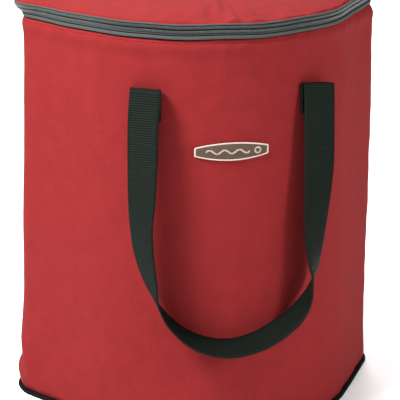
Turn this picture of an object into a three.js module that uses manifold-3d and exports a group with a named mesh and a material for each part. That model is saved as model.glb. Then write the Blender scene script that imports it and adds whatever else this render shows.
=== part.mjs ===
// Insulated cooler bag with a half-moon plan: a padded, lined body on a flat base, a padded lid that a
// zip closes round the front and sides and a fabric strip hinges at the back, and a webbing handle on
// the front and on the back. Millimetres, +Z up, -Y is the rounded front, and the origin is the middle
// of the base, on the floor.
import * as THREE from "three";
import { mergeVertices } from "three/addons/utils/BufferGeometryUtils.js";
import Module from "manifold-3d";

const wasm = await Module();
wasm.setup();

// ---- Driving dimensions ---------------------------------------------------------------------------

const GAP = 0.3; // between two pieces that touch or are sewn together
const DEGREE = Math.PI / 180;

// Plan, at the top of the body
const BAG_WIDTH = 350;
const BAG_DEPTH = 190.7;
const FRONT_RADIUS = 148; // the rounded front
const CORNER_RADIUS = 36; // the two rear corners
const BASE_SPREAD = 0.054; // how much larger the plan is at the base, as a share of it

// Body
const BODY_HEIGHT = 389.6; // base to the seam under the zip
const SHELL = 1.2; // outer fabric with its coating
const WALL_FOAM = 6;
const BASE_FOAM = 6;
const LINER = 0.8;
const PIPING_DIAMETER = 4.8;
const PIPING_GROUND_CLEARANCE = 0.6;
const BINDING = 1.1;
const BINDING_HEIGHT = 11;

// Zip band
const BAND_HEIGHT = 14.5;
const COIL_DROP = 5.4; // top of the band down to the middle of the coil
const TOOTH_ROW = 2.8; // height of one row of teeth
const TOOTH_GAP = 1.2; // between the two rows, where the slider's web runs
const TOOTH_PROUD = 0.8; // how far the teeth stand out of the tape
const TOOTH_BURIED = 1.6; // and how far they reach behind its face
const TAPE = 1.0;
const ZIP_END_ANGLE = 35; // the teeth stop this far round each rear corner, past its widest point
const END_PATCH_ANGLE = 24;
const END_PATCH_HEIGHT = 10;

// Lid
const LID_CROWN = 13; // rise of the lid from its seam to its middle
const CROWN_POWER = 2.4; // a higher value gives a flatter middle and a rounder edge
const LID_FOAM = 6;
const LID_INSET = 5.2; // from the lid's edge to its foam, clear of the slider's inner plate
const LID_LINER = 0.8;
const LID_BINDING_WIDTH = 9;
const LID_BINDING = 0.7;
const HINGE_ROUND = 0.2; // hinge line behind the strip's outer face
const HINGE_SPLIT = 0.5; // share of the band under the hinge line

// Badge
const BADGE_WIDTH = 67;
const BADGE_HEIGHT = 17.5;
const BADGE_END_HEIGHT = 9;
const BADGE_DROP = 104.8; // seam under the zip down to the badge's middle
const BADGE_THICKNESS = 0.9;
const EDGING = 1.8; // width of the thread edging round the badge
const EDGING_PROUD = 0.5;

// Handles
const WEBBING_WIDTH = 30;
const WEBBING = 1.6;
const HANDLE_SPACING = 162; // between the middles of a handle's two ends
const FOLD_DROP = 47.6; // seam under the zip down to where the webbing turns over from its sewn end
const SEWN_LENGTH = 28;
const LOOP_DROP = 238; // fold down to the middle of the loop's lowest stretch
const LOOP_BEND = 84; // height of the rounded lower stretch of the loop
const LOOP_TILT = 13; // degrees that the loop's shelf slopes down away from the bag
const FRONT_FOLD_STANDOFF = 12.3; // front panel to the middle of the folded webbing
const REAR_FOLD_STANDOFF = 3.6;
const LOOP_CLEARANCE = 1.2; // between the loop's lowest stretch and the panel behind it
const LEG_CLEARANCE = 5; // and between a twisted leg and the panel

// Zip slider
const SLIDER_ANGLE = 20; // place on the right rear corner, past its widest point
const SLIDER_LENGTH = 10;
const SLIDER_HEIGHT = 9;
const SLIDER_PLATE = 1.2;
const SLIDER_CLEARANCE = 0.95;
const SLIDER_WEB = 0.6;
const SLIDER_WEB_LENGTH = 3;
const BAIL_STANDOFF = 2.7; // outer plate to the middle of the bail
const BAIL_WIRE = 1.4;
const BAIL_LENGTH = 7;
const PULL_EYE = 2.4; // bore of the pull's eye
const PULL_EYE_WALL = 1.0;
const PULL_EYE_WIDTH = 1.8;
const PULL_LENGTH = 24;
const PULL_WIDTH = 7;
const PULL_THICKNESS = 1.6;

// Fineness of the facets
const ARC_SEGMENTS = 8; // pairs of chords on each arc of the plan
const LOOP_SEGMENTS = 88;
const LOOP_STRIPS = 4; // across the webbing, so that its two faces stay parallel where it twists

// ---- Values worked out from them ------------------------------------------------------------------

const cornerX = BAG_WIDTH / 2 - CORNER_RADIUS;
const cornerY = BAG_DEPTH / 2 - CORNER_RADIUS;
const frontY = FRONT_RADIUS - BAG_DEPTH / 2;
// The straight sides are the common tangents of the front arc and the corner arcs.
const sideAngle =
  Math.asin((FRONT_RADIUS - CORNER_RADIUS) / Math.hypot(cornerX, cornerY - frontY)) +
  Math.atan2(cornerY - frontY, cornerX);

const bandTop = BODY_HEIGHT + BAND_HEIGHT;
const coilZ = bandTop - COIL_DROP;
const hingeZ = BODY_HEIGHT + HINGE_SPLIT * BAND_HEIGHT;
const foamFace = -(SHELL + GAP); // offset from the outer face to the foam's outer face
const foamBack = foamFace - WALL_FOAM;
const linerFace = foamBack - GAP;
const baseFoamZ = SHELL + GAP;
const wallZ = baseFoamZ + BASE_FOAM + GAP; // where the foam walls and the liner start
const pipingZ = PIPING_GROUND_CLEARANCE + PIPING_DIAMETER / 2;
const foldZ = BODY_HEIGHT - FOLD_DROP;
const badgeZ = BODY_HEIGHT - BADGE_DROP;
const lidUnderZ = bandTop + GAP - LID_FOAM; // underside of the lid's foam

// ---- Materials ------------------------------------------------------------------------------------

function material(color, roughness, metalness = 0) {
  return new THREE.MeshStandardMaterial({ color, roughness, metalness });
}
const redShell = material(0xb4373c, 0.75);
const blackTrim = material(0x23272a, 0.7);
const greyTape = material(0x6a706c, 0.8);
const coil = material(0x4c524e, 0.45);
const webbing = material(0x1e2c26, 0.8);
const foam = material(0xe9e9e4, 0.9);
const liner = material(0xdfe2e3, 0.35);
const badgeCloth = material(0x695a4b, 0.8);
const badgeThread = material(0xebcdc3, 0.7);
const castMetal = material(0x3a3d3f, 0.4, 1);

// ---- Plan outline ---------------------------------------------------------------------------------

// Adds the front, sides and rear corners to a path, offset outwards, anticlockwise from the left rear
// corner, or back again. The corners end at an angle past the bag's widest point.
function traceWrap(path, offset, cornerEnd = 90, back = false) {
  const arcs = [
    [-cornerX, cornerY, CORNER_RADIUS, 180 * DEGREE - cornerEnd * DEGREE, 270 * DEGREE - sideAngle],
    [0, frontY, FRONT_RADIUS, 270 * DEGREE - sideAngle, 270 * DEGREE + sideAngle],
    [cornerX, cornerY, CORNER_RADIUS, 270 * DEGREE + sideAngle, 360 * DEGREE + cornerEnd * DEGREE],
  ];
  if (back) {
    for (const [x, y, r, from, to] of arcs.reverse()) path.absarc(x, y, r + offset, to, from, true);
  } else {
    for (const [x, y, r, from, to] of arcs) path.absarc(x, y, r + offset, from, to, false);
  }
  return path;
}

function planShape(offset) {
  return traceWrap(new THREE.Shape(), offset);
}

// A strip that goes round the front, sides and corners but not the back.
function wrapShape(outer, inner, cornerEnd) {
  return traceWrap(traceWrap(new THREE.Shape(), outer, cornerEnd), inner, cornerEnd, true);
}

// Y of the rounded front's surface at x, before the taper.
function frontSurface(x) {
  return frontY - Math.sqrt(FRONT_RADIUS ** 2 - x ** 2);
}

function spread(z) {
  return 1 + BASE_SPREAD * Math.max(0, 1 - z / BODY_HEIGHT);
}

// ---- Geometry helpers -----------------------------------------------------------------------------

// Moves each vertex of a geometry to where a function puts it.
function warp(geometry, place) {
  const position = geometry.attributes.position;
  const point = new THREE.Vector3();
  for (let i = 0; i < position.count; i++) {
    point.fromBufferAttribute(position, i);
    place(point, i);
    position.setXYZ(i, point.x, point.y, point.z);
  }
  geometry.computeVertexNormals();
  return geometry;
}

// Widens the body's pieces towards the base.
function taper(geometry) {
  return warp(geometry, (p) => {
    const s = spread(p.z);
    p.x *= s;
    p.y *= s;
  });
}

// An upright wall on a plan shape.
function upright(shape, z0, z1) {
  const depth = z1 - z0;
  const options = { depth, bevelEnabled: false, curveSegments: ARC_SEGMENTS };
  return taper(new THREE.ExtrudeGeometry(shape, options).translate(0, 0, z0));
}

// A box that lies between two planes x, two y and two z.
function slab(x0, x1, y0, y1, z0, z1) {
  const box = new THREE.BoxGeometry(x1 - x0, y1 - y0, z1 - z0);
  return box.translate((x0 + x1) / 2, (y0 + y1) / 2, (z0 + z1) / 2);
}

// Turns a profile round the bag's plan. A profile point is an offset from the plan outline, with
// MIDDLE for the bag's middle axis, and a height. Points further in than the corners' radius lie on
// copies of the outline shrunk towards that axis.
const MIDDLE = -BAG_DEPTH / 2;
function turned(profile) {
  const reach = BAG_DEPTH / 2;
  const core = reach - CORNER_RADIUS + 1;
  const points = profile.map(([offset, z]) => new THREE.Vector2(reach + offset, z));
  const rings = points.map((p) => {
    const ring = traceWrap(new THREE.Path(), Math.max(p.x, core) - reach).getPoints(ARC_SEGMENTS);
    return ring.map((q) => q.multiplyScalar(Math.min(1, p.x / core)));
  });
  const count = rings[0].length;
  const lathe = new THREE.LatheGeometry(points, count);
  const flat = warp(lathe, (p, i) => {
    const ring = i % points.length;
    const around = Math.floor(i / points.length) % count;
    p.set(rings[ring][around].x, rings[ring][around].y, points[ring].y);
  });
  return taper(flat);
}

// A closed profile that is a rectangle.
function rectangle(outer, inner, z0, z1) {
  return [[outer, z0], [outer, z1], [inner, z1], [inner, z0], [outer, z0]];
}

// Puts a flat panel's geometry, modelled in X and Z with its face at y = 0 and its outside towards
// -Y, on the rounded front, with its middle at an angle round it.
function onFront(geometry, angle) {
  return taper(
    warp(geometry, (p) => {
      const turn = angle + p.x / FRONT_RADIUS;
      const r = FRONT_RADIUS - p.y;
      p.x = r * Math.sin(turn);
      p.y = frontY - r * Math.cos(turn);
    }),
  );
}

function solidOf(geometry) {
  const bare = new THREE.BufferGeometry().setAttribute("position", geometry.attributes.position);
  if (geometry.index) bare.setIndex(geometry.index);
  const merged = mergeVertices(bare, 1e-4);
  return new wasm.Manifold(
    new wasm.Mesh({
      numProp: 3,
      vertProperties: merged.attributes.position.array,
      triVerts: new Uint32Array(merged.index.array),
    }),
  );
}

// One geometry from several that overlap, less any that are cut away.
function joined(added, cut = []) {
  let solid = solidOf(added[0]);
  for (const geometry of added.slice(1)) solid = solid.add(solidOf(geometry));
  for (const geometry of cut) solid = solid.subtract(solidOf(geometry));
  const { vertProperties, triVerts } = solid.getMesh();
  return new THREE.BufferGeometry()
    .setAttribute("position", new THREE.BufferAttribute(vertProperties, 3))
    .setIndex(new THREE.BufferAttribute(triVerts, 1));
}

function piece(name, geometry, look) {
  const mesh = new THREE.Mesh(geometry, look);
  mesh.name = name;
  return mesh;
}

// ---- Body -----------------------------------------------------------------------------------------

function body() {
  const group = new THREE.Group();
  const back = BAG_DEPTH / 2;
  const shellZ = PIPING_GROUND_CLEARANCE + PIPING_DIAMETER + GAP;
  const backHalf = cornerX - GAP;
  // A panel across the flat back, between two offsets from its outer face.
  const backPanel = (outer, inner, z0, z1) =>
    taper(slab(-backHalf, backHalf, back + inner, back + outer, z0, z1));

  group.add(
    piece("outer_front_panel", upright(wrapShape(0, -SHELL), shellZ, BODY_HEIGHT), redShell),
    piece("outer_back_panel", backPanel(0, -SHELL, shellZ, BODY_HEIGHT), redShell),
    piece("front_wall_foam", upright(wrapShape(foamFace, foamBack), wallZ, BODY_HEIGHT - BINDING_HEIGHT), foam),
    piece("back_wall_foam", backPanel(foamFace, foamBack, wallZ, BODY_HEIGHT - BINDING_HEIGHT), foam),
  );

  // Base: the piping is sewn in between the walls and the base cover.
  const coverEdge = -PIPING_DIAMETER / 2;
  const cover = upright(planShape(coverEdge), 0, SHELL);
  const baseFoam = upright(planShape(coverEdge - GAP), baseFoamZ, baseFoamZ + BASE_FOAM);
  const pipe = [];
  const PIPE_SIDES = 10;
  for (let i = 0; i <= PIPE_SIDES; i++) {
    const turn = (2 * Math.PI * (i % PIPE_SIDES)) / PIPE_SIDES;
    const r = PIPING_DIAMETER / 2;
    pipe.push([r * Math.cos(turn), pipingZ + r * Math.sin(turn)]);
  }
  group.add(
    piece("base_cover", cover, blackTrim),
    piece("base_piping", turned(pipe), blackTrim),
    piece("base_foam", baseFoam, foam),
  );

  // Liner: a seamless bucket inside the foam.
  const linerTop = BODY_HEIGHT - 2 * GAP;
  const bucket = turned([
    [MIDDLE, wallZ],
    [linerFace, wallZ],
    [linerFace, linerTop],
    [linerFace - LINER, linerTop],
    [linerFace - LINER, wallZ + LINER],
    [MIDDLE, wallZ + LINER],
  ]);
  const bindingZ = BODY_HEIGHT - BINDING_HEIGHT + GAP;
  const rim = turned(rectangle(foamFace, foamFace - BINDING, bindingZ, BODY_HEIGHT + 2));
  group.add(piece("liner", bucket, liner), piece("rim_binding", rim, greyTape));
  return group;
}

// ---- Zip band and hinge strip ---------------------------------------------------------------------

// Patch that covers the end of the zip on one rear corner.
function endPatch(side) {
  const shape = new THREE.Shape();
  const from = (ZIP_END_ANGLE + 2) * DEGREE;
  const to = from + END_PATCH_ANGLE * DEGREE;
  const [start, end] = side > 0 ? [from, to] : [Math.PI - to, Math.PI - from];
  shape.absarc(side * cornerX, cornerY, CORNER_RADIUS + GAP + SHELL, start, end, false);
  shape.absarc(side * cornerX, cornerY, CORNER_RADIUS + GAP, end, start, true);
  return upright(shape, hingeZ - GAP - END_PATCH_HEIGHT, hingeZ - GAP);
}

function lowerBand() {
  const group = new THREE.Group();
  const teethTop = coilZ - TOOTH_GAP / 2;
  const teethBottom = teethTop - TOOTH_ROW;
  const back = BAG_DEPTH / 2;
  const teeth = wrapShape(TOOTH_PROUD, -TOOTH_BURIED, ZIP_END_ANGLE);
  const stripHalf = cornerX - GAP;
  const strip = slab(-stripHalf, stripHalf, back - TAPE, back, BODY_HEIGHT + GAP, hingeZ - GAP);
  group.add(
    piece("lower_zip_tape", upright(wrapShape(0, -TAPE), BODY_HEIGHT + GAP, teethBottom - GAP), greyTape),
    piece("lower_zip_teeth", upright(teeth, teethBottom, teethTop), coil),
    piece("hinge_strip_lower", strip, greyTape),
    piece("zip_end_patch_left", endPatch(-1), blackTrim),
    piece("zip_end_patch_right", endPatch(1), blackTrim),
  );
  return group;
}

function upperBand() {
  const group = new THREE.Group();
  const teethBottom = coilZ + TOOTH_GAP / 2;
  const teethTop = teethBottom + TOOTH_ROW;
  const back = BAG_DEPTH / 2;
  const teeth = wrapShape(TOOTH_PROUD, -TOOTH_BURIED, ZIP_END_ANGLE);
  const stripHalf = cornerX - GAP;
  group.add(
    piece("upper_zip_tape", upright(wrapShape(0, -TAPE), teethTop + GAP, bandTop), greyTape),
    piece("upper_zip_teeth", upright(teeth, teethBottom, teethTop), coil),
    piece("hinge_strip_upper", slab(-stripHalf, stripHalf, back - TAPE, back, hingeZ + GAP, bandTop), greyTape),
  );
  return group;
}

// ---- Lid ------------------------------------------------------------------------------------------

// Height of the lid's outer face above its seam, at an offset from the plan outline.
function crown(offset) {
  const reach = BAG_DEPTH / 2;
  return LID_CROWN * (1 - ((reach + offset) / reach) ** CROWN_POWER);
}

function lid() {
  const group = new THREE.Group();
  const seam = bandTop + GAP;
  const rings = [0, -4, -10, -20, -38, -58, -78, MIDDLE];
  const top = rings.map((offset) => [offset, seam + SHELL + crown(offset)]);
  const under = rings.map((offset) => [offset, seam + crown(offset)]).reverse();
  const padRings = rings.filter((offset) => offset < -LID_INSET);
  const padTop = [-LID_INSET, ...padRings].map((offset) => [offset, seam + crown(offset) - GAP]);
  const padUnder = [[MIDDLE, lidUnderZ], [-LID_INSET, lidUnderZ]];
  const linerTop = lidUnderZ - GAP;
  const bindingTop = linerTop - LID_LINER - GAP;
  const binding = rectangle(
    -LID_INSET, -LID_INSET - LID_BINDING_WIDTH, bindingTop - LID_BINDING, bindingTop,
  );
  group.add(
    piece("lid_panel", turned([...under, ...top]), redShell),
    piece("lid_foam", turned([...padUnder, ...padTop]), foam),
    piece("lid_liner", upright(planShape(-LID_INSET), linerTop - LID_LINER, linerTop), liner),
    piece("lid_binding", turned(binding), greyTape),
    upperBand(),
  );
  return group;
}

// ---- Badge ----------------------------------------------------------------------------------------

// Half the badge's height at x: its long edges bow out and its ends are straight.
function badgeHalf(x, grow) {
  const bow = 1 - (x / (BADGE_WIDTH / 2 + grow)) ** 2;
  return (BADGE_END_HEIGHT + (BADGE_HEIGHT - BADGE_END_HEIGHT) * bow) / 2 + grow;
}

// A plate of the badge's outline, grown on all sides, on the front panel from one height above it to
// another. It is a box whose long edges bow out and which bends with the panel.
function badgePlate(grow, low, high) {
  const plate = new THREE.BoxGeometry(BADGE_WIDTH + 2 * grow, high - low, 2, 16, 1, 1);
  warp(plate, (p) => {
    p.z = p.z * badgeHalf(p.x, grow) + badgeZ;
    p.y -= (low + high) / 2;
  });
  return onFront(plate, 0);
}

function badge() {
  const group = new THREE.Group();
  const top = GAP + BADGE_THICKNESS;
  const outer = badgePlate(GAP + EDGING, GAP, top + EDGING_PROUD);
  const inner = badgePlate(GAP, -1, top + EDGING_PROUD + 1);
  group.add(
    piece("badge_patch", badgePlate(0, GAP, top), badgeCloth),
    piece("badge_edging", joined([outer], [inner]), badgeThread),
  );
  return group;
}

// ---- Handles --------------------------------------------------------------------------------------

// Sewn end of the webbing, flat on the panel, with its fold at the top.
function sewnEnd(face, side) {
  const box = new THREE.BoxGeometry(WEBBING_WIDTH, WEBBING, SEWN_LENGTH, 6, 1, 1);
  box.translate(0, -GAP - WEBBING / 2, foldZ - SEWN_LENGTH / 2);
  if (face > 0) return taper(box.translate((side * HANDLE_SPACING) / 2, BAG_DEPTH / 2 + 2 * GAP + WEBBING, 0));
  return onFront(box, side * Math.asin(HANDLE_SPACING / 2 / FRONT_RADIUS));
}

// The hanging loop of one handle: flat legs that twist a quarter turn on the way down, so that the
// lowest stretch lies like a shelf against the bag. face is -1 for the front and 1 for the back.
function handleLoop(face) {
  const half = HANDLE_SPACING / 2;
  const bendZ = foldZ - LOOP_DROP + LOOP_BEND;
  const path = new THREE.Path()
    .moveTo(-half, foldZ)
    .lineTo(-half, bendZ)
    .absellipse(0, bendZ, half, LOOP_BEND, Math.PI, 2 * Math.PI, false, 0)
    .lineTo(half, foldZ);
  const length = path.getLength();
  const foldStandoff = face < 0 ? FRONT_FOLD_STANDOFF : REAR_FOLD_STANDOFF;
  const twistStart = 0.1;
  const twistEnd = 0.36;

  // Middle of the webbing and its twist, at a share of its length.
  const at = (share) => {
    const flat = path.getPointAt(THREE.MathUtils.clamp(share, 0, 1));
    const fromEnd = Math.min(share, 1 - share);
    const twist = (Math.PI / 2) * THREE.MathUtils.smoothstep(fromEnd, twistStart, twistEnd);
    const clearance = THREE.MathUtils.lerp(LOOP_CLEARANCE, LEG_CLEARANCE, Math.abs(flat.x) / half);
    const loopStandoff = WEBBING_WIDTH / 2 + clearance;
    const standoff = THREE.MathUtils.lerp(foldStandoff, loopStandoff, Math.sin(twist));
    const surface = face < 0 ? -frontSurface(flat.x) : BAG_DEPTH / 2;
    const y = face * (surface * spread(flat.y) + standoff);
    return { middle: new THREE.Vector3(flat.x, y, flat.y), twist };
  };

  const strip = new THREE.BoxGeometry(WEBBING_WIDTH, WEBBING, length, LOOP_STRIPS, 1, LOOP_SEGMENTS);
  const tilt = LOOP_TILT * DEGREE;
  const step = 0.002;
  return warp(strip, (p) => {
    const share = p.z / length + 0.5;
    const { middle, twist } = at(share);
    const along = at(Math.min(1, share + step)).middle.sub(at(Math.max(0, share - step)).middle);
    along.normalize();
    // Across the webbing: towards the bag's side on the legs, towards the bag itself on the shelf.
    const across = new THREE.Vector3(
      Math.sign(share - 0.5) * Math.cos(twist),
      -face * Math.sin(twist) * Math.cos(tilt),
      Math.sin(twist) * Math.sin(tilt),
    );
    across.addScaledVector(along, -across.dot(along)).normalize();
    const through = new THREE.Vector3().crossVectors(across, along).multiplyScalar(face);
    p.copy(middle.addScaledVector(across, -face * p.x).addScaledVector(through, p.y));
  });
}

function handle(name, face) {
  const group = new THREE.Group();
  group.add(
    piece(name + "_sewn_end_left", sewnEnd(face, -1), webbing),
    piece(name + "_sewn_end_right", sewnEnd(face, 1), webbing),
    piece(name + "_loop", handleLoop(face), webbing),
  );
  return group;
}

// ---- Zip slider and pull --------------------------------------------------------------------------

// Both are modelled with X along the zip, Y out of the bag and Z up, round the middle of the coil.
const plateFace = TOOTH_PROUD + SLIDER_CLEARANCE;
const bailY = plateFace + SLIDER_PLATE + BAIL_STANDOFF;

function sliderBody() {
  const halfLength = SLIDER_LENGTH / 2;
  const halfHeight = SLIDER_HEIGHT / 2;
  const innerFace = -(TOOTH_BURIED + SLIDER_CLEARANCE);
  const bite = SLIDER_PLATE / 2;
  const halfWeb = SLIDER_WEB_LENGTH / 2;
  const halfBail = BAIL_LENGTH / 2;
  const post = slab(-BAIL_WIRE, 0, plateFace + bite, bailY + BAIL_WIRE / 2, -BAIL_WIRE / 2, BAIL_WIRE / 2);
  const bar = new THREE.CylinderGeometry(BAIL_WIRE / 2, BAIL_WIRE / 2, BAIL_LENGTH, 12);
  return joined([
    slab(-halfLength, halfLength, plateFace, plateFace + SLIDER_PLATE, -halfHeight, halfHeight),
    slab(-halfLength, halfLength, innerFace - SLIDER_PLATE, innerFace, -halfHeight, halfHeight),
    slab(-halfWeb, halfWeb, innerFace - bite, plateFace + bite, -SLIDER_WEB / 2, SLIDER_WEB / 2),
    post.clone().translate(-halfBail + BAIL_WIRE / 2, 0, 0),
    post.clone().translate(halfBail + BAIL_WIRE / 2, 0, 0),
    bar.rotateZ(Math.PI / 2).translate(0, bailY, 0),
  ]);
}

function pullTab() {
  const eyeRadius = PULL_EYE / 2 + PULL_EYE_WALL;
  const eye = new THREE.CylinderGeometry(eyeRadius, eyeRadius, PULL_EYE_WIDTH, 20).rotateZ(Math.PI / 2);
  const bore = new THREE.CylinderGeometry(PULL_EYE / 2, PULL_EYE / 2, 2 * PULL_EYE_WIDTH, 20).rotateZ(Math.PI / 2);
  const half = PULL_WIDTH / 2;
  const outline = new THREE.Shape()
    .moveTo(-PULL_EYE_WIDTH / 2, -PULL_EYE / 2)
    .lineTo(-half, -eyeRadius - 2)
    .lineTo(-half, half - PULL_LENGTH)
    .absarc(0, half - PULL_LENGTH, half, Math.PI, 2 * Math.PI, false)
    .lineTo(half, -eyeRadius - 2)
    .lineTo(PULL_EYE_WIDTH / 2, -PULL_EYE / 2);
  const tab = new THREE.ExtrudeGeometry(outline, {
    depth: PULL_THICKNESS, bevelEnabled: false, curveSegments: 10,
  });
  tab.rotateX(Math.PI / 2).translate(0, PULL_THICKNESS / 2, 0);
  return joined([eye, tab], [bore]).translate(0, bailY, 0);
}

function slider() {
  const turn = SLIDER_ANGLE * DEGREE;
  const group = new THREE.Group();
  group.add(
    piece("zip_slider_body", sliderBody(), castMetal),
    piece("zip_pull_tab", pullTab(), castMetal),
  );
  group.position.set(
    cornerX + CORNER_RADIUS * Math.cos(turn),
    cornerY + CORNER_RADIUS * Math.sin(turn),
    coilZ,
  );
  group.rotation.z = turn - Math.PI / 2;
  return group;
}

// ---- The bag --------------------------------------------------------------------------------------

const bag = new THREE.Group();
bag.add(
  body(),
  lowerBand(),
  lid(),
  badge(),
  handle("front_handle", -1),
  handle("rear_handle", 1),
  slider(),
);

export default bag;
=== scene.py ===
"""Insulated cooler bag: sewn polyester skin, foam padding, wipe-clean liner, coil zip and webbing handles.

Everything is in metres, with Z up, X to the bag's right and Y towards its flat back. Most pieces are
wrapped round the bag: a place on them is a distance s round the outline from the middle of the front,
a distance out from the skin, and a height z.
"""

import math

import bmesh
import bpy
from bpy.props import FloatProperty, FloatVectorProperty, PointerProperty
from bpy.types import Operator, Panel, PropertyGroup
from mathutils import Euler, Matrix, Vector, noise


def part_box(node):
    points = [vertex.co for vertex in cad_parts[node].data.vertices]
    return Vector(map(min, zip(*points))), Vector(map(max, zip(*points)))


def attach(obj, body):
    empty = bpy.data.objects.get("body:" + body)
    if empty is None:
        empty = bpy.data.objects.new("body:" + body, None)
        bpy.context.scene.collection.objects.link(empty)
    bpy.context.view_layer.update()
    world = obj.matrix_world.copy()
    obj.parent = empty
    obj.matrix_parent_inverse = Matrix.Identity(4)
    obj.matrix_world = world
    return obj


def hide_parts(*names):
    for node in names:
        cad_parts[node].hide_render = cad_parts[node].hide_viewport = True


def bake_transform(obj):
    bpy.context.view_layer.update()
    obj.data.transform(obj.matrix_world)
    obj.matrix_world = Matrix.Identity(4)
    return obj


bl_info = {
    "name": "Insulated cooler bag",
    "version": (1, 0, 0),
    "blender": (4, 5, 0),
    "location": "View3D > Sidebar > Cooler bag",
    "description": "Builds the sewn, padded and zipped pieces of an insulated cooler bag",
    "category": "Add Mesh",
}

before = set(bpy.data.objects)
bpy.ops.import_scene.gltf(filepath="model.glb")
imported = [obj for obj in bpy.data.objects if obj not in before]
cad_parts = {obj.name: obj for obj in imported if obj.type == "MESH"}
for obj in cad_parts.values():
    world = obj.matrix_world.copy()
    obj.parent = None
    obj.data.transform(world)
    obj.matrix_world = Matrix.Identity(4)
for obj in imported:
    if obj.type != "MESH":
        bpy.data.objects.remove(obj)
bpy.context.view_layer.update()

# ---- Sizes taken from the frame --------------------------------------------------------------------

HALF_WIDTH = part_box("lid_panel")[1].x
HALF_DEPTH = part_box("lid_panel")[1].y
SKIN_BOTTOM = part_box("outer_front_panel")[0].z
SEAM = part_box("outer_front_panel")[1].z
BAND_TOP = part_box("upper_zip_tape")[1].z
COIL_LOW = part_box("lower_zip_teeth")[0].z
COIL_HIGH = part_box("upper_zip_teeth")[1].z
COIL_MIDDLE = (COIL_LOW + COIL_HIGH) / 2
LID_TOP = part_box("lid_panel")[1].z
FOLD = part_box("front_handle_loop")[1].z
TAIL_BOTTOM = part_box("front_handle_sewn_end_left")[0].z
HINGE_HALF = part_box("hinge_strip_lower")[1].x

# ---- Other sizes ----------------------------------------------------------------------------------

FRONT_RADIUS = 0.148
CORNER_RADIUS = 0.036
BASE_SPREAD = 0.054  # how much wider the plan is at the floor than at the seam
WRAP = 0.3058  # half the length of the front panel, from its middle round both corners
SKIN = 0.0011
RIB_RELIEF = 0.00028
WEBBING = 0.0016
WEBBING_WIDTH = 0.030
ZIP_HALF = 0.2838  # half the length of the zip
WALL = 0.0078  # skin and foam together, out to the liner
SLIDER_S = 0.248
BADGE_MIDDLE = -0.0040
BADGE_Z = (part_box("badge_patch")[0].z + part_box("badge_patch")[1].z) / 2 + 0.0012
TOPSTITCH = SEAM - 0.0034
SKIN_HEM = SKIN_BOTTOM - 0.0012  # the skin's lower edge, tucked behind the piping
PULL_PITCH = 0.0062  # between the places where the topstitching pulls the skin in most
CROWN_POWER = 2.4  # how flat the lid's crown is before it falls to the edge
FILM = 0.0007  # thickness of the liner and of the lid's liner
SINGLE = 1e-6  # corners nearer than this are one


def linear(hex_colour):
    """Linear RGBA of an sRGB hex colour such as #A03030."""
    value = hex_colour.lstrip("#")
    channels = [int(value[i : i + 2], 16) / 255 for i in (0, 2, 4)]
    return tuple(c / 12.92 if c <= 0.04045 else ((c + 0.055) / 1.055) ** 2.4 for c in channels) + (1.0,)


def smoothstep(x, low, high):
    t = min(1.0, max(0.0, (x - low) / (high - low)))
    return t * t * (3 - 2 * t)


def bump(x, middle, width):
    """1 at the middle, falling smoothly to nearly nothing two widths away."""
    return math.exp(-(((x - middle) / width) ** 2))


def ripple(x, y, seed):
    """Smooth noise between about -1 and 1, a different one for each seed."""
    return noise.noise(Vector((x, y, seed)))


# ---- The bag's outline ------------------------------------------------------------------------------

corner_x = HALF_WIDTH - CORNER_RADIUS
corner_y = HALF_DEPTH - CORNER_RADIUS
front_y = FRONT_RADIUS - HALF_DEPTH
centres_apart = math.hypot(corner_x, corner_y - front_y)
SIDE_ANGLE = math.atan2(corner_y - front_y, corner_x) + math.asin(
    (FRONT_RADIUS - CORNER_RADIUS) / centres_apart
)
ARC_END = FRONT_RADIUS * SIDE_ANGLE
FLARE_END = ARC_END + corner_x * math.cos(SIDE_ANGLE) + (corner_y - front_y) * math.sin(SIDE_ANGLE)
CORNER_END = FLARE_END + CORNER_RADIUS * (math.pi - SIDE_ANGLE)
HALF_ROUND = CORNER_END + corner_x


def outline(s):
    """Place and outward direction on the plan at a distance s from the middle of the front."""
    side = math.copysign(1, s)
    d = abs(s)
    if d <= ARC_END:
        angle = d / FRONT_RADIUS
        x, y = FRONT_RADIUS * math.sin(angle), front_y - FRONT_RADIUS * math.cos(angle)
    elif d <= FLARE_END:
        angle = SIDE_ANGLE
        x = FRONT_RADIUS * math.sin(angle) + (d - ARC_END) * math.cos(angle)
        y = front_y - FRONT_RADIUS * math.cos(angle) + (d - ARC_END) * math.sin(angle)
    elif d <= CORNER_END:
        angle = SIDE_ANGLE + (d - FLARE_END) / CORNER_RADIUS
        x = corner_x + CORNER_RADIUS * math.sin(angle)
        y = corner_y - CORNER_RADIUS * math.cos(angle)
    else:
        angle = math.pi
        x, y = HALF_ROUND - d, HALF_DEPTH
    return side * x, y, side * math.sin(angle), -math.cos(angle)


def spread(z):
    return 1 + BASE_SPREAD * max(0.0, 1 - z / SEAM)


def ear(s, z):
    """The left end of the zip band stands out from the body."""
    return 0.0084 * bump(s, -0.262, 0.036) * smoothstep(z, SEAM + 0.001, BAND_TOP - 0.003)


def sway(s):
    """The sewn band runs slightly up and down, but not where the slider sits."""
    return 0.0010 * ripple(s * 22, 0.4, 8.8) * (1 - bump(s, SLIDER_S, 0.030)) * calm(s)


def settle(s, z):
    """How the filled sides lean: in at the upper left and lower right, out at the other two."""
    left_foot = 0.0036 * (1 - smoothstep(z, 0.030, 0.120))
    left_top = 0.0026 * smoothstep(z, 0.15, 0.30)
    right_top = 0.0028 * smoothstep(z, 0.18, 0.34) * (1 - smoothstep(z, SEAM - 0.012, SEAM))
    right_foot = 0.0030 * (1 - smoothstep(z, 0.040, 0.200))
    left = bump(s, -0.258, 0.055) * (left_foot - left_top)
    right = bump(s, 0.250, 0.060) * (right_top - right_foot)
    return left + right


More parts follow.
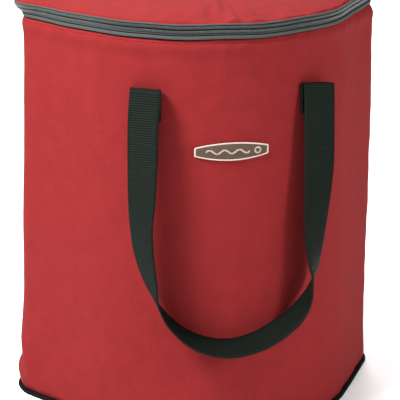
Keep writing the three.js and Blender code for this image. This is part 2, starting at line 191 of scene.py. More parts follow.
def calm(s):
    """Fades the waves out at the middle of the back, where both ends of the outline meet."""
    return 1 - smoothstep(abs(s), HALF_ROUND - 0.035, HALF_ROUND - 0.001)


def slump(s, z):
    """How far the padded wall stands out from its drawn shape: soft waves, seam puckers and creases."""
    broad = ripple(s * 11, z * 9, 3.1) * 0.0011
    fine = ripple(s * 34, z * 26, 7.7) * 0.0004
    near_seam = smoothstep(z, SEAM - 0.022, SEAM - 0.003)
    pucker = ripple(s * 95, z * 18, 1.3) * 0.0012 * near_seam
    near_floor = 1 - smoothstep(z, 0.008, 0.034)
    gather = ripple(s * 60, z * 22, 5.9) * 0.0012 * near_floor
    shoulder = 0.0014 * bump(z, SEAM - 0.008, 0.0065)
    # a crease and a swelling at the foot of the left rear corner
    notch = -0.0030 * bump(s, -0.268, 0.022) * bump(z, 0.040, 0.009)
    swelling = 0.0026 * bump(s, -0.262, 0.030) * bump(z, 0.022, 0.010)
    right_of, above = s + 0.232, z - 0.030
    slant = right_of * 0.80 + above * 0.60
    along = -right_of * 0.60 + above * 0.80
    fold = 0.0026 * (bump(slant, 0, 0.0065) - 0.8 * bump(slant, 0.015, 0.009)) * bump(along, 0, 0.026)
    # small dents down the right edge
    dents = 0.0016 * ripple(z * 42, 2.7, 6.1) * bump(s, 0.262, 0.030)
    pull = 0.6 + 0.4 * math.cos(s * 2 * math.pi / PULL_PITCH)
    groove = -0.0009 * bump(z, TOPSTITCH, 0.0013) * pull
    moved = groove + (broad + fine + pucker + gather) * calm(s) + shoulder + notch + swelling + fold + dents
    return moved * (1 - smoothstep(z, SEAM - 0.004, SEAM))


def seam_tuck(z):
    """The skin turns in where it meets the zip band and the piping."""
    top = 0.0016 * smoothstep(z, SEAM - 0.0022, SEAM) * (1 - smoothstep(z, SEAM, SEAM + 0.0004))
    return -top - 0.0012 * (1 - smoothstep(z, SKIN_BOTTOM, 0.010))


def wrapped(s, out, z):
    """The place at a distance out from the drawn skin."""
    x, y, nx, ny = outline(s)
    k = spread(z)
    out = out + ear(s, z) + settle(s, z)
    return Vector((x * k + nx * out, y * k + ny * out, z + sway(s) * smoothstep(z, SEAM - 0.04, SEAM)))


def on_outline(s):
    """The same place for a distance that runs on past the middle of the back."""
    return s if s <= HALF_ROUND else s - 2 * HALF_ROUND


def skin(s, out, z):
    """The place at a distance out from the skin as it really lies."""
    s = on_outline(s)
    return wrapped(s, out + slump(s, z) + seam_tuck(z), z)


def padding_place(s, out, z):
    """Inside the skin: the slump fades away through the padding to nothing at the liner."""
    s = on_outline(s)
    return wrapped(s, out + slump(s, z) * max(0.0, 1 + out / WALL), z)


# ---- Making meshes ----------------------------------------------------------------------------------


def formed_grid(along, across, place, uv_size=(1.0, 1.0), weld=0.0, flip=False, caps=False):
    """A grid of faces with each corner where place(u, v) says, u and v running from 0 to 1."""
    mesh = bmesh.new()
    layer = mesh.loops.layers.uv.new("UVMap")
    bmesh.ops.create_grid(mesh, x_segments=along, y_segments=across, size=0.5)
    for face in mesh.faces:
        face.smooth = True
        for loop in face.loops:
            co = loop.vert.co
            loop[layer].uv = ((co.x + 0.5) * uv_size[0], (co.y + 0.5) * uv_size[1])
    for vert in mesh.verts:
        vert.co = place(min(1.0, max(0.0, vert.co.x + 0.5)), min(1.0, max(0.0, vert.co.y + 0.5)))
    if weld:
        bmesh.ops.remove_doubles(mesh, verts=mesh.verts, dist=weld)
    if caps:
        open_edges = [edge for edge in mesh.edges if edge.is_boundary]
        bmesh.ops.holes_fill(mesh, edges=open_edges, sides=0)
        bmesh.ops.recalc_face_normals(mesh, faces=mesh.faces)
    if flip:
        bmesh.ops.reverse_faces(mesh, faces=mesh.faces)
    return mesh


def facing(mesh, direction):
    """Makes the faces agree, and turns them so that on the whole they face up (1) or down (-1)."""
    bmesh.ops.recalc_face_normals(mesh, faces=mesh.faces)
    if direction * sum(face.normal.z for face in mesh.faces) < 0:
        bmesh.ops.reverse_faces(mesh, faces=mesh.faces)
    return mesh


def piece(name, mesh, material, body, replaced=()):
    """A finished object from a bmesh, riding on a body and standing for CAD nodes."""
    data = bpy.data.meshes.new(name)
    mesh.to_mesh(data)
    mesh.free()
    data.materials.append(material)
    obj = bpy.data.objects.new(name, data)
    bpy.context.scene.collection.objects.link(obj)
    if body:
        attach(obj, body)
    if replaced:
        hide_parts(*replaced)
    return obj


def thicken(obj, thickness, offset=-1.0):
    modifier = obj.modifiers.new("thickness", "SOLIDIFY")
    modifier.thickness = thickness
    modifier.offset = offset
    return obj


def swept(profile, start, end, steps, surface=skin, closed_profile=True):
    """A cross-section of (out, z) points carried round the bag from s = start to end."""
    count = len(profile)
    sides = count if closed_profile else count - 1
    full = end - start > 2 * HALF_ROUND - SINGLE

    def place(u, v):
        i = round(v * sides)
        out, z = profile[i % count]
        return surface(start + u * (end - start), out, z)

    length = sum(math.dist(profile[i], profile[(i + 1) % count]) for i in range(sides))
    mesh = formed_grid(
        steps,
        sides,
        place,
        uv_size=(end - start, length),
        weld=SINGLE,
        caps=closed_profile and not full,
    )
    if closed_profile:
        bmesh.ops.recalc_face_normals(mesh, faces=mesh.faces)
    return mesh


def oval(middle_out, middle_z, half_out, half_z, count=12, power=1.0):
    """Points round a rounded cross-section."""
    points = []
    for i in range(count):
        angle = 2 * math.pi * i / count
        c, s = math.cos(angle), math.sin(angle)
        out = middle_out + half_out * math.copysign(abs(c) ** power, c)
        z = middle_z + half_z * math.copysign(abs(s) ** power, s)
        points.append((out, z))
    return points


# ---- Materials --------------------------------------------------------------------------------------


def add(tree, kind, inputs=None, **settings):
    """Adds a node with its settings; inputs maps a socket to a value or to another node's output."""
    node = tree.nodes.new(kind)
    for key, value in settings.items():
        setattr(node, key, value)
    for key, value in (inputs or {}).items():
        if isinstance(value, bpy.types.NodeSocket):
            tree.links.new(value, node.inputs[key])
        else:
            node.inputs[key].default_value = value
    return node


SURFACE_INPUTS = {
    "roughness": "Roughness",
    "ior": "IOR",
    "specular": "Specular IOR Level",
    "sheen": "Sheen Weight",
    "metallic": "Metallic",
    "coat": "Coat Weight",
}


def new_material(name, **settings):
    """A material, its node tree, and its UV and object coordinates; settings are its surface's."""
    material = bpy.data.materials.new(name)
    material.use_nodes = True
    tree = material.node_tree
    surface = tree.nodes["Principled BSDF"]
    for key, value in settings.items():
        surface.inputs[SURFACE_INPUTS[key]].default_value = value
    place = add(tree, "ShaderNodeTexCoord").outputs
    return material, tree, place["UV"], place["Object"]


def patterned(material, colour, relief=None):
    """Joins a colour, and a relief if there is one, to the material's surface."""
    tree = material.node_tree
    surface = tree.nodes["Principled BSDF"]
    tree.links.new(colour, surface.inputs["Base Color"])
    if relief is not None:
        tree.links.new(relief, surface.inputs["Normal"])
    return material


def computed(tree, operation, *values):
    return add(tree, "ShaderNodeMath", dict(enumerate(values)), operation=operation).outputs[0]


def clouds(tree, coordinates, scale, detail=2.0, roughness=0.5, distortion=0.0):
    inputs = {"Vector": coordinates, "Scale": scale, "Detail": detail}
    inputs.update({"Roughness": roughness, "Distortion": distortion})
    return add(tree, "ShaderNodeTexNoise", inputs).outputs["Fac"]


def bumped(tree, height, strength, distance, below=None):
    """Relief from a height, laid over the relief below it."""
    inputs = {"Height": height, "Strength": strength, "Distance": distance}
    if below is not None:
        inputs["Normal"] = below
    return add(tree, "ShaderNodeBump", inputs).outputs[0]


def shaded(tree, amount, low, high, start=0.0, end=1.0):
    """A colour that goes from low to high as the amount goes from start to end."""
    ramp = add(tree, "ShaderNodeValToRGB", {0: amount})
    first, last = ramp.color_ramp.elements
    first.position, first.color = start, low
    last.position, last.color = end, high
    return ramp.outputs["Color"]


def mottle(tree, coordinates, scale, detail, low, high):
    """A soft variation between two colours."""
    return shaded(tree, clouds(tree, coordinates, scale, detail, 0.6), low, high, 0.3, 0.7)


def weave(tree, coordinates, pitch_u, pitch_v):
    """Height of a plain weave with threads that far apart, from 0 to 1."""
    split = add(tree, "ShaderNodeSeparateXYZ", {0: coordinates}).outputs
    threads = []
    for axis, pitch in (("X", pitch_u), ("Y", pitch_v)):
        turns = computed(tree, "MULTIPLY", split[axis], math.pi / pitch)
        threads.append(computed(tree, "SINE", turns))
    crossing = computed(tree, "MULTIPLY", *threads)
    return computed(tree, "MULTIPLY_ADD", crossing, 0.5, 0.5)


def polyester_skin(name, low, high, relief):
    """Coated polyester, plain woven: an even colour with a fine crossing grain and a soft crumple."""
    material, tree, uv, place = new_material(name, roughness=0.8, ior=1.5, specular=0.04)
    grain = weave(tree, uv, POLYESTER_PITCH, POLYESTER_PITCH)
    height = computed(tree, "MULTIPLY_ADD", clouds(tree, place, 900.0), 0.6, grain)
    crumple = clouds(tree, place, 45.0, detail=4.0, roughness=0.55, distortion=0.4)
    soft = bumped(tree, crumple, 0.35, 0.0016)
    fine = bumped(tree, height, 0.5, relief, below=soft)
    return patterned(material, mottle(tree, place, 60.0, 5.0, low, high), fine)


def ribbed_cloth(name, low, high, pitch_along, pitch_across, roughness):
    """Narrow woven tape: ribs across its length, broken into rows by the warp threads."""
    material, tree, uv, _ = new_material(name, roughness=roughness, specular=0.03)
    grain = weave(tree, uv, pitch_along, pitch_across)
    height = computed(tree, "MULTIPLY_ADD", clouds(tree, uv, 1400.0, detail=3.0), 0.5, grain)
    relief = bumped(tree, height, 0.8, 0.0002)
    return patterned(material, shaded(tree, grain, low, high), relief)


def ribbed_webbing(name, low, high, pitch):
    """Polypropylene webbing with ribs and dots; its colour is painted lighter on the ribs and darker in the
    furrows, as painted highlight and painted shade.
    """
    material, tree, uv, _ = new_material(name, roughness=0.5, specular=0.03)
    along = add(tree, "ShaderNodeSeparateXYZ", {0: uv}).outputs["X"]
    wave = computed(tree, "SINE", computed(tree, "MULTIPLY", along, 2 * math.pi / pitch))
    ribs = computed(tree, "MULTIPLY_ADD", wave, 0.22, 0.28)
    dots = weave(tree, uv, pitch / 2, pitch / 2)
    height = computed(tree, "MULTIPLY_ADD", dots, 0.45, ribs)
    relief = bumped(tree, height, 0.8, 0.0005)
    # the colour follows the height: painted highlight on the ribs, painted shade in the furrows
    return patterned(material, shaded(tree, height, low, high), relief)


def nylon_coil(name, low, high):
    """Nylon monofilament, heat set into a coil: smooth, slightly waxy, with small bright highlights."""
    material, tree, _, place = new_material(name, roughness=0.38, ior=1.53)
    return patterned(material, mottle(tree, place, 500.0, 2.0, low, high))


def closed_cell_foam(name, low, high):
    """Expanded polyethylene foam: matt, with a skin of small closed bubbles."""
    material, tree, _, place = new_material(name, roughness=0.85)
    cells = add(tree, "ShaderNodeTexVoronoi", {"Vector": place, "Scale": 700.0})
    bubbles = bumped(tree, cells.outputs["Distance"], 0.6, 0.0005)
    return patterned(material, mottle(tree, place, 90.0, 3.0, low, high), bubbles)


def liner_film(name, low, high):
    """Embossed PEVA film: wipe-clean and half glossy, with a shallow crinkle."""
    material, tree, _, place = new_material(name, roughness=0.32)
    inputs = {"Vector": place, "Scale": 60.0, "Smoothness": 0.6}
    crinkle = add(tree, "ShaderNodeTexVoronoi", inputs, feature="SMOOTH_F1")
    large = bumped(tree, crinkle.outputs["Distance"], 0.35, 0.002)
    small = bumped(tree, clouds(tree, place, 600.0), 0.4, 0.0003, below=large)
    return patterned(material, mottle(tree, place, 40.0, 3.0, low, high), small)


def embroidery_thread(name, low, high):
    """Rayon thread laid in close satin stitches: silky, with a fine uneven surface."""
    material, tree, _, place = new_material(name, roughness=0.45, sheen=0.3)
    twist = bumped(tree, clouds(tree, place, 1800.0), 0.5, 0.0002)
    return patterned(material, mottle(tree, place, 700.0, 3.0, low, high), twist)


def painted_zinc(name, low, high):
    """Die-cast zinc under dark enamel: smooth, with soft casting waves and worn, paler patches."""
    material, tree, _, place = new_material(name, roughness=0.34, metallic=0.6, coat=0.3)
    cast = bumped(tree, clouds(tree, place, 320.0), 0.25, 0.0004)
    return patterned(material, mottle(tree, place, 260.0, 4.0, low, high), cast)


def studio_floor(name, low, high):
    """Seamless white paper: matt, with the faintest mottle."""
    material, tree, _, place = new_material(name, roughness=0.9, specular=0.1)
    return patterned(material, mottle(tree, place, 6.0, 2.0, low, high))


POLYESTER_PITCH = 0.0011  # between the threads of the polyester
MATERIALS = {}


def tinted(colour, factor):
    return tuple(min(1.0, c * factor) for c in colour) + (1.0,)


def finish_of(name):
    """Each finish is made once and shared."""
    if name in MATERIALS:
        return MATERIALS[name]
    colours = bpy.context.scene.cooler_bag_colours
    rib = bpy.context.scene.cooler_bag_sizes.rib_pitch

    def dyed(part, low, high):
        colour = getattr(colours, part)
        return tinted(colour, low), tinted(colour, high)

    def fixed(low, high):
        return linear(low), linear(high)

    finishes = {
        "red polyester": (polyester_skin, *dyed("body", 0.93, 1.07), 0.00012),
        "black polyester": (polyester_skin, *dyed("base", 0.85, 1.2), 0.00012),
        # the thread is real, but its colour is darkened far below the skin's red: painted shade along the
        # stitched seam
        "red thread": (polyester_skin, *dyed("body", 0.35, 0.55), 0.0001),
        "woven zip tape": (ribbed_cloth, *dyed("tape", 0.8, 1.15), 0.0009, 0.0007, 0.7),
        # near-black cloth behind the coil: painted shade in the coil's gaps
        "dark zip tape": (ribbed_cloth, *fixed("#0F1211", "#1D211F"), 0.0009, 0.0007, 0.8),
        "woven badge cloth": (ribbed_cloth, *dyed("badge", 0.75, 1.2), 0.0008, 0.0008, 0.75),
        "nylon coil": (nylon_coil, *dyed("coil", 0.85, 1.2)),
        # the wide range from dark to light is painted shade in the furrows and painted highlight on the
        # ribs
        "polypropylene webbing": (ribbed_webbing, *dyed("webbing", 0.15, 2.2), rib),
        "closed-cell foam": (closed_cell_foam, *fixed("#D8D8D2", "#E6E6E0")),
        "PEVA film": (liner_film, *fixed("#70757A", "#7F8489")),
        "embroidery thread": (embroidery_thread, *dyed("thread", 0.88, 1.0)),
        "black thread": (embroidery_thread, *fixed("#15181A", "#24282A")),
        "painted zinc": (painted_zinc, *fixed("#34393A", "#4C5253")),
        "white paper": (studio_floor, *fixed("#F4F4F4", "#F8F8F8")),
    }
    maker, *values = finishes[name]
    MATERIALS[name] = maker(name, *values)
    return MATERIALS[name]


# ---- Body -------------------------------------------------------------------------------------------


def eased(v):
    """Spends more of the rows near both seams, where the puckers are."""
    return v - 0.095 * math.sin(2 * math.pi * v)


def make_skin():
    """The front panel runs round both rear corners, and the back panel closes the gap."""
    height = SEAM - SKIN_HEM
    edge = WRAP - 0.0004
    for name, node, start, end, columns in (
        ("body_skin_front", "outer_front_panel", -WRAP, WRAP, 220),
        ("body_skin_back", "outer_back_panel", edge, 2 * HALF_ROUND - edge, 90),
    ):

        def place(u, v):
            return skin(start + u * (end - start), 0, SKIN_HEM + eased(v) * height)

        mesh = formed_grid(columns, 130, place, uv_size=(end - start, height))
        obj = piece(name, mesh, finish_of("red polyester"), "root", [node])
        thicken(obj, SKIN)


# ---- Stage ------------------------------------------------------------------------------------------


SENSOR_WIDTH = 36  # millimetres, like the lens
LENS = 143.7
CAMERA_PLACE = (-0.3443, -1.4595, 0.6832)
CAMERA_DOWN = math.radians(17.54)
CAMERA_HEADING = math.radians(-12.82)
SKY_STRENGTH = 0.42
# name, place, what it points at, diameter in metres and power in watts
LAMPS = (
    ("left softbox", (-1.02, -0.36, 1.50), (0, 0, 0.25), 0.55, 76),
    ("right softbox", (1.56, -1.50, 1.15), (0, 0, 0.20), 0.60, 42),
    ("background light", (0.7, 2.6, 2.4), (0.6, 2.2, 0), 1.5, 90),
)


def make_stage():
    scene = bpy.context.scene
    scene.view_settings.view_transform = "Standard"
    camera_data = bpy.data.cameras.new("camera")
    camera_data.sensor_width = SENSOR_WIDTH
    camera_data.lens = LENS
    camera = bpy.data.objects.new("camera", camera_data)
    scene.collection.objects.link(camera)
    camera.location = CAMERA_PLACE
    camera.rotation_euler = Euler((math.pi / 2 - CAMERA_DOWN, 0, CAMERA_HEADING))
    scene.camera = camera

    world = bpy.data.worlds.new("studio")
    world.use_nodes = True
    background = world.node_tree.nodes["Background"]
    background.inputs["Color"].default_value = (1, 1, 1, 1)
    background.inputs["Strength"].default_value = SKY_STRENGTH
    scene.world = world

    for name, place, aim, size, power in LAMPS:
        lamp = bpy.data.lights.new(name, "AREA")
        lamp.shape = "DISK"
        lamp.size = size
        lamp.energy = power
        light = bpy.data.objects.new(name, lamp)
        scene.collection.objects.link(light)
        light.location = place
        light.rotation_euler = (Vector(aim) - Vector(place)).to_track_quat("-Z", "Y").to_euler()

    mesh = bmesh.new()
    bmesh.ops.create_grid(mesh, x_segments=8, y_segments=8, size=6)
    floor = piece("studio_floor", mesh, finish_of("white paper"), None)


# ---- The base ---------------------------------------------------------------------------------------


def plan_place(s, share, out, z):
    """A place inside the outline, at a share of the way from the bag's middle axis to the edge."""
    edge = wrapped(s, out, z)
    return Vector((edge.x * share, edge.y * share, edge.z * share**4 + z * (1 - share**4)))


PAD_EDGE = 16  # the higher, the squarer the pads' edges


def disc(out, height):
    """A sheet of the bag's plan; height(s, share) gives its z."""

    def place(u, v):
        s = (u - 0.5) * 2 * HALF_ROUND
        p = plan_place(s, v, out, height(s, 1.0))
        p.z += height(s, v) - height(s, 1.0)
        return p

    return formed_grid(260, 24, place, uv_size=(2 * HALF_ROUND, HALF_DEPTH), weld=SINGLE)


def pad(out, bottom, top):
    """A closed pad of the bag's plan between two heights, its edge rounded."""

    def place(u, v):
        # v runs from the middle of the underside, round the edge, to the middle of the top
        s = (u - 0.5) * 2 * HALF_ROUND
        share = math.sin((1 - abs(2 * v - 1)) * math.pi / 2)
        low, high = bottom(s, share), top(s, share)
        half = (high - low) / 2 * math.sqrt(max(0.0, 1 - share**PAD_EDGE))
        middle = (low + high) / 2
        p = plan_place(s, share, out, middle)
        p.z += half if v > 0.5 else -half
        return p

    mesh = formed_grid(220, 56, place, uv_size=(2 * HALF_ROUND, 2 * HALF_DEPTH), weld=SINGLE)
    bmesh.ops.recalc_face_normals(mesh, faces=mesh.faces)
    return mesh


def make_base():
    low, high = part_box("base_piping")
    radius = (high.z - low.z) / 2
    reach = high.x - HALF_WIDTH * spread((low.z + high.z) / 2) - radius
    profile = oval(reach, (low.z + high.z) / 2, radius, radius, 14)
    mesh = swept(profile, -HALF_ROUND, HALF_ROUND, 420, surface=wrapped)
    piece("base_piping", mesh, finish_of("black polyester"), "root", ["base_piping"])

    mesh = facing(disc(-0.0020, lambda s, share: 0.0011 + 0.0006 * (1 - share**6)), 1)
    cover = piece("base_cover", mesh, finish_of("black polyester"), "root", ["base_cover"])
    thicken(cover, 0.0010)

    low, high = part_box("base_foam")
    mesh = pad(-0.0055, lambda s, share: low.z + 0.0004, lambda s, share: high.z)
    foam = piece("base_padding", mesh, finish_of("closed-cell foam"), "root", ["base_foam"])


# ---- The zip band -----------------------------------------------------------------------------------


def make_band():
    """The tapes and the facing below them, the coil with near-black strips of painted shade behind it, the
    hinge and the patches.
    """
    tape = finish_of("woven zip tape")
    dark = finish_of("dark zip tape")
    groove = SEAM + 0.0038
    facing = oval(0.0001, (SEAM + groove) / 2, 0.0010, (groove - SEAM) / 2 - 0.0003, 12, 0.6)
    flat = oval(-0.0005, groove + 0.0010, 0.0005, 0.0006, 10, 0.6)
    half = (COIL_MIDDLE - SEAM) / 2 - 0.0001
    # strips of near-black cloth behind the coil: painted shade in the gaps between and beside its rows
    under = oval(-0.0014, (SEAM + COIL_MIDDLE) / 2 - 0.0001, 0.0004, half, 10, 0.5)
    half = (BAND_TOP - COIL_HIGH) / 2 - 0.0003
    above = oval(0.0000, (COIL_HIGH + BAND_TOP) / 2 + 0.0001, 0.0009, half, 12, 0.6)
    half = (COIL_HIGH - COIL_MIDDLE) / 2
    behind = oval(-0.0014, (COIL_MIDDLE + COIL_HIGH) / 2 + 0.0004, 0.0004, half, 10, 0.5)
    for name, profile, finish, body, node in (
        ("band_facing", facing, tape, "root", ()),
        ("lower_zip_tape", flat, tape, "root", ("lower_zip_tape",)),
        ("lower_coil_backing", under, dark, "root", ()),
        ("upper_zip_tape", above, tape, "lid", ("upper_zip_tape",)),
        ("upper_coil_backing", behind, dark, "lid", ()),
    ):
        mesh = swept(profile, -WRAP, WRAP, 380)
        piece(name, mesh, finish, body, node)
    make_teeth("lower_zip_teeth", "root", COIL_LOW, -1)
    make_teeth("upper_zip_teeth", "lid", COIL_HIGH, 1)
    make_hinge(tape)
    make_end_patches(tape)
    make_topstitch()


def make_topstitch():
    """A row of stitches through the skin just under the band."""
    pitch = bpy.context.scene.cooler_bag_sizes.stitch_pitch
    count = int(2 * (WRAP - 0.004) / pitch)

    def place(number, x, y, z):
        s = (number - (count - 1) / 2 + 0.70 * x) * pitch
        return skin(s, 0.0003 * z, TOPSTITCH + 0.0005 * y)

    # the thread's dark red is partly painted shade along the seam
    piece("band_topstitch", laid_row(count, place), finish_of("red thread"), "root", [])


def tooth_row(count):
    """A straight row of rounded blocks, one metre apart along X and one metre in size."""
    mesh = bmesh.new()
    bmesh.ops.create_cube(mesh, size=1.0)
    bmesh.ops.bevel(
        mesh,
        geom=mesh.edges[:],
        offset=0.26,
        offset_type="OFFSET",
        segments=1,
        profile=0.5,
        affect="EDGES",
        material=-1,
    )
    bmesh.ops.scale(mesh, verts=mesh.verts, vec=(0.96, 1, 1))
    made = 1
    while made < count:
        copied = bmesh.ops.duplicate(mesh, geom=mesh.verts[:] + mesh.edges[:] + mesh.faces[:])
        new = [item for item in copied["geom"] if isinstance(item, bmesh.types.BMVert)]
        bmesh.ops.translate(mesh, verts=new, vec=(made, 0, 0))
        made *= 2
    spare = [vert for vert in mesh.verts if vert.co.x > count - 0.5]
    bmesh.ops.delete(mesh, geom=spare, context="VERTS")
    return mesh


def laid_row(count, place):
    """A row of small rounded blocks, each put where place(number, x, y, z) says."""
    mesh = tooth_row(count)
    for vert in mesh.verts:
        number = round(vert.co.x)
        vert.co = place(number, vert.co.x - number, vert.co.y, vert.co.z)
    bmesh.ops.recalc_face_normals(mesh, faces=mesh.faces)
    for face in mesh.faces:
        face.smooth = True
    return mesh


def make_teeth(node, body, edge, side):
    """One row of the coil: a short rounded loop of thread every pitch, from the tape to the middle."""
    pitch = bpy.context.scene.cooler_bag_sizes.tooth_pitch
    reach = abs(COIL_MIDDLE - edge) - 0.0005

    def place(tooth, x, y, h):
        s = -ZIP_HALF + (tooth + 0.5 + 0.25 * side + x * 0.50) * pitch
        return skin(s, y * 0.0017, edge - side * (h + 0.5) * reach)

    mesh = laid_row(int(2 * ZIP_HALF / pitch), place)
    return piece(node, mesh, finish_of("nylon coil"), body, [node])


def make_hinge(tape):
    """The band's back is one strip of cloth, sewn to the body and to the lid, made here in its closed
    shape.
    """
    half = HINGE_HALF - 0.0006
    low, high = SEAM + 0.0002, BAND_TOP

    def place(u, v):
        z = low + v * (high - low)
        pinch = -0.0005 * bump(z, COIL_MIDDLE - 0.0018, 0.0012)
        p = wrapped(HALF_ROUND - 0.00001, pinch - 0.0001, z)
        return Vector((half - 2 * half * u, p.y + 0.0002 * ripple(u * 22, v * 2, 4.4), z))

    mesh = formed_grid(160, 24, place, uv_size=(2 * half, high - low))
    strip = piece("hinge_strip", mesh, tape, None, ["hinge_strip_lower", "hinge_strip_upper"])
    thicken(strip, 0.0009)
    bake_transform(strip)


def make_end_patches(tape):
    """A folded tab over each end of the zip."""
    low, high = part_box("zip_end_patch_right")
    middle, half = (low.z + high.z) / 2, (high.z - low.z) / 2
    for side, name in ((-1, "zip_end_patch_left"), (1, "zip_end_patch_right")):
        profile = oval(0.0012, middle, 0.0006, half, 14, 0.35)
        ends = sorted((side * 0.2722, side * 0.2880))
        mesh = swept(profile, ends[0], ends[1], 14, surface=wrapped)
        piece(name, mesh, tape, "root", [name])


# ---- Inside -----------------------------------------------------------------------------------------


def make_inside():
    foam = finish_of("closed-cell foam")
    low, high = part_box("front_wall_foam")
    rows = 26
    heights = [low.z + (high.z - low.z) * i / rows for i in range(rows + 1)]
    slab = [(-0.0017, z) for z in heights] + [(-0.0045, high.z + 0.0004)]
    slab += [(-0.0073, z) for z in reversed(heights)] + [(-0.0045, low.z - 0.0004)]
    front = swept(slab, -WRAP + 0.0010, WRAP - 0.0010, 220, surface=padding_place)
    obj = piece("front_wall_padding", front, foam, "root", ["front_wall_foam"])
    back = swept(slab, WRAP + 0.0010, 2 * HALF_ROUND - WRAP - 0.0010, 90, surface=padding_place)
    obj = piece("back_wall_padding", back, foam, "root", ["back_wall_foam"])
    make_liner()
    make_rim()


def make_liner():
    """A bucket of film: a floor that rounds into the walls, welded all round."""
    low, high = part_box("liner")
    corner = 0.006
    flat = 0.95  # share of the plan that the flat floor takes up
    floor_rows, corner_rows = 0.30, 0.06  # shares of the rows, the walls having the rest
    wall_start = floor_rows + corner_rows
    edge = -WALL - 0.0003

    def place(u, v):
        s = (u - 0.5) * 2 * HALF_ROUND
        if v < floor_rows:
            return plan_place(s, v / floor_rows * flat, edge, low.z)
        if v < wall_start:
            turn = (v - floor_rows) / corner_rows * math.pi / 2
            inner = plan_place(s, flat, edge, low.z)
            outer = wrapped(s, edge, low.z + corner)
            p = inner.lerp(outer, math.sin(turn))
            p.z = low.z + corner * (1 - math.cos(turn))
            return p
        bottom, top = low.z + corner, high.z - 0.0012
        z = bottom + (top - bottom) * (v - wall_start) / (1 - wall_start)
        crinkle = 0.0005 * ripple(s * 26, v * 9, 11.3) * calm(s)
        return wrapped(s, -WALL - 0.0004 + crinkle * smoothstep(z, 0.02, 0.06), z)

    mesh = formed_grid(300, 100, place, uv_size=(2 * HALF_ROUND, 0.6), weld=SINGLE)
    facing(mesh, -1)
    liner = piece("liner", mesh, finish_of("PEVA film"), "root", ["liner"])
    thicken(liner, FILM)


def make_rim():
    """A folded binding over the top of the wall and the liner."""
    low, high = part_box("rim_binding")
    top = high.z - 0.0004
    profile = [
        (-0.0102, low.z),
        (-0.0103, top - 0.0045),
        (-0.0101, top - 0.0018),
        (-0.0090, top - 0.0004),
        (-0.0062, top),
        (-0.0036, top - 0.0003),
        (-0.0024, top - 0.0012),
        (-0.0021, top - 0.0030),
    ]
    mesh = swept(profile, -HALF_ROUND, HALF_ROUND, 380, surface=wrapped, closed_profile=False)
    facing(mesh, 1)
    cloth = finish_of("black polyester")
    binding = piece("rim_binding", mesh, cloth, "root", ["rim_binding"])
    thicken(binding, 0.0008)


# ---- Lid --------------------------------------------------------------------------------------------


def lid_height(s, share):
    """Height of the lid's skin: a low crown, a rolled edge, gathers at the seam and soft waves."""
    x, y, _, _ = outline(s)
    broad = ripple(x * share * 14, y * share * 14, 9.3) * 0.0010
    fine = ripple(s * 85, share * 5, 2.2) * 0.0010 * smoothstep(share, 0.84, 0.95)
    crease = ripple(s * 78, share * 3.2, 7.4) * 0.0042 * smoothstep(share, 0.30, 0.88)
    at_seam = 1 - smoothstep(share, 0.985, 1.0)
    gather = (fine + crease * (0.12 + bump(s, 0.000, 0.042))) * at_seam * calm(s)
    crown = LID_TOP - BAND_TOP - 0.0018
    roll = 0.0016 * smoothstep(1 - share, 0.0, 0.018) - 0.0005
    return BAND_TOP + roll + crown * (1 - share**CROWN_POWER) + broad * (1 - share**6) + gather


def make_lid():
    """The crowned skin and its padding, with a liner below and a binding round its edge."""

    def place(u, v):
        s = (u - 0.5) * 2 * HALF_ROUND
        share = 1 - (1 - v) ** 1.7
        p = plan_place(s, share, -0.0006, BAND_TOP)
        p.z += lid_height(s, share) - BAND_TOP
        return p

    mesh = formed_grid(400, 70, place, uv_size=(2 * HALF_ROUND, HALF_DEPTH), weld=SINGLE)
    facing(mesh, 1)
    cushion = piece("lid_skin", mesh, finish_of("red polyester"), "lid", ["lid_panel"])
    thicken(cushion, SKIN)

    low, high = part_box("lid_foam")
    bottom = low.z
    inset = high.x - HALF_WIDTH

    def under_skin(s, share):
        return lid_height(s, share * 0.97) - SKIN - 0.0009

    mesh = pad(inset, lambda s, share: bottom, under_skin)
    padding = piece("lid_padding", mesh, finish_of("closed-cell foam"), "lid", ["lid_foam"])

    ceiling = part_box("lid_liner")[1].z - 0.0001

    def film_height(s, share):
        return ceiling + 0.0002 * calm(s) * ripple(s * 9, share * 5, 6.6)

    mesh = facing(disc(inset, film_height), 1)
    film = piece("lid_liner", mesh, finish_of("PEVA film"), "lid", ["lid_liner"])
    thicken(film, FILM)

    low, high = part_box("lid_binding")
    profile = oval(inset - 0.0044, (low.z + high.z) / 2, 0.0044, 0.0005, 14, 0.45)
    mesh = swept(profile, -HALF_ROUND, HALF_ROUND, 380, surface=wrapped)
    piece("lid_binding", mesh, finish_of("black polyester"), "lid", ["lid_binding"])


# ---- Badge ------------------------------------------------------------------------------------------

BADGE_HALF_LENGTH = 0.0337
BADGE_HALF_HEIGHT = 0.0079
BADGE_END_HEIGHT = 0.0036


def badge_place(x, h, out):
    """A place on the badge: x along it, h up it, out from the body."""
    return skin(BADGE_MIDDLE + x, out, BADGE_Z + h)


def barrel(x):
    """Half the badge's height at x along it."""
    share = min(1.0, abs(x) / BADGE_HALF_LENGTH)
    return BADGE_END_HEIGHT + (BADGE_HALF_HEIGHT - BADGE_END_HEIGHT) * (1 - share**2)


def badge_rim(turn):
    """A point on the badge's edge for a turn from 0 to 1, not evenly spaced."""
    turn = turn % 1.0
    quarter = int(turn * 4)
    share = turn * 4 - quarter
    if quarter in (0, 2):
        sign = 1 if quarter == 0 else -1
        x = sign * BADGE_HALF_LENGTH * (1 - 2 * share)
        return x, sign * barrel(x)
    sign = -1 if quarter == 1 else 1
    return sign * BADGE_HALF_LENGTH, -sign * BADGE_END_HEIGHT * (2 * share - 1)


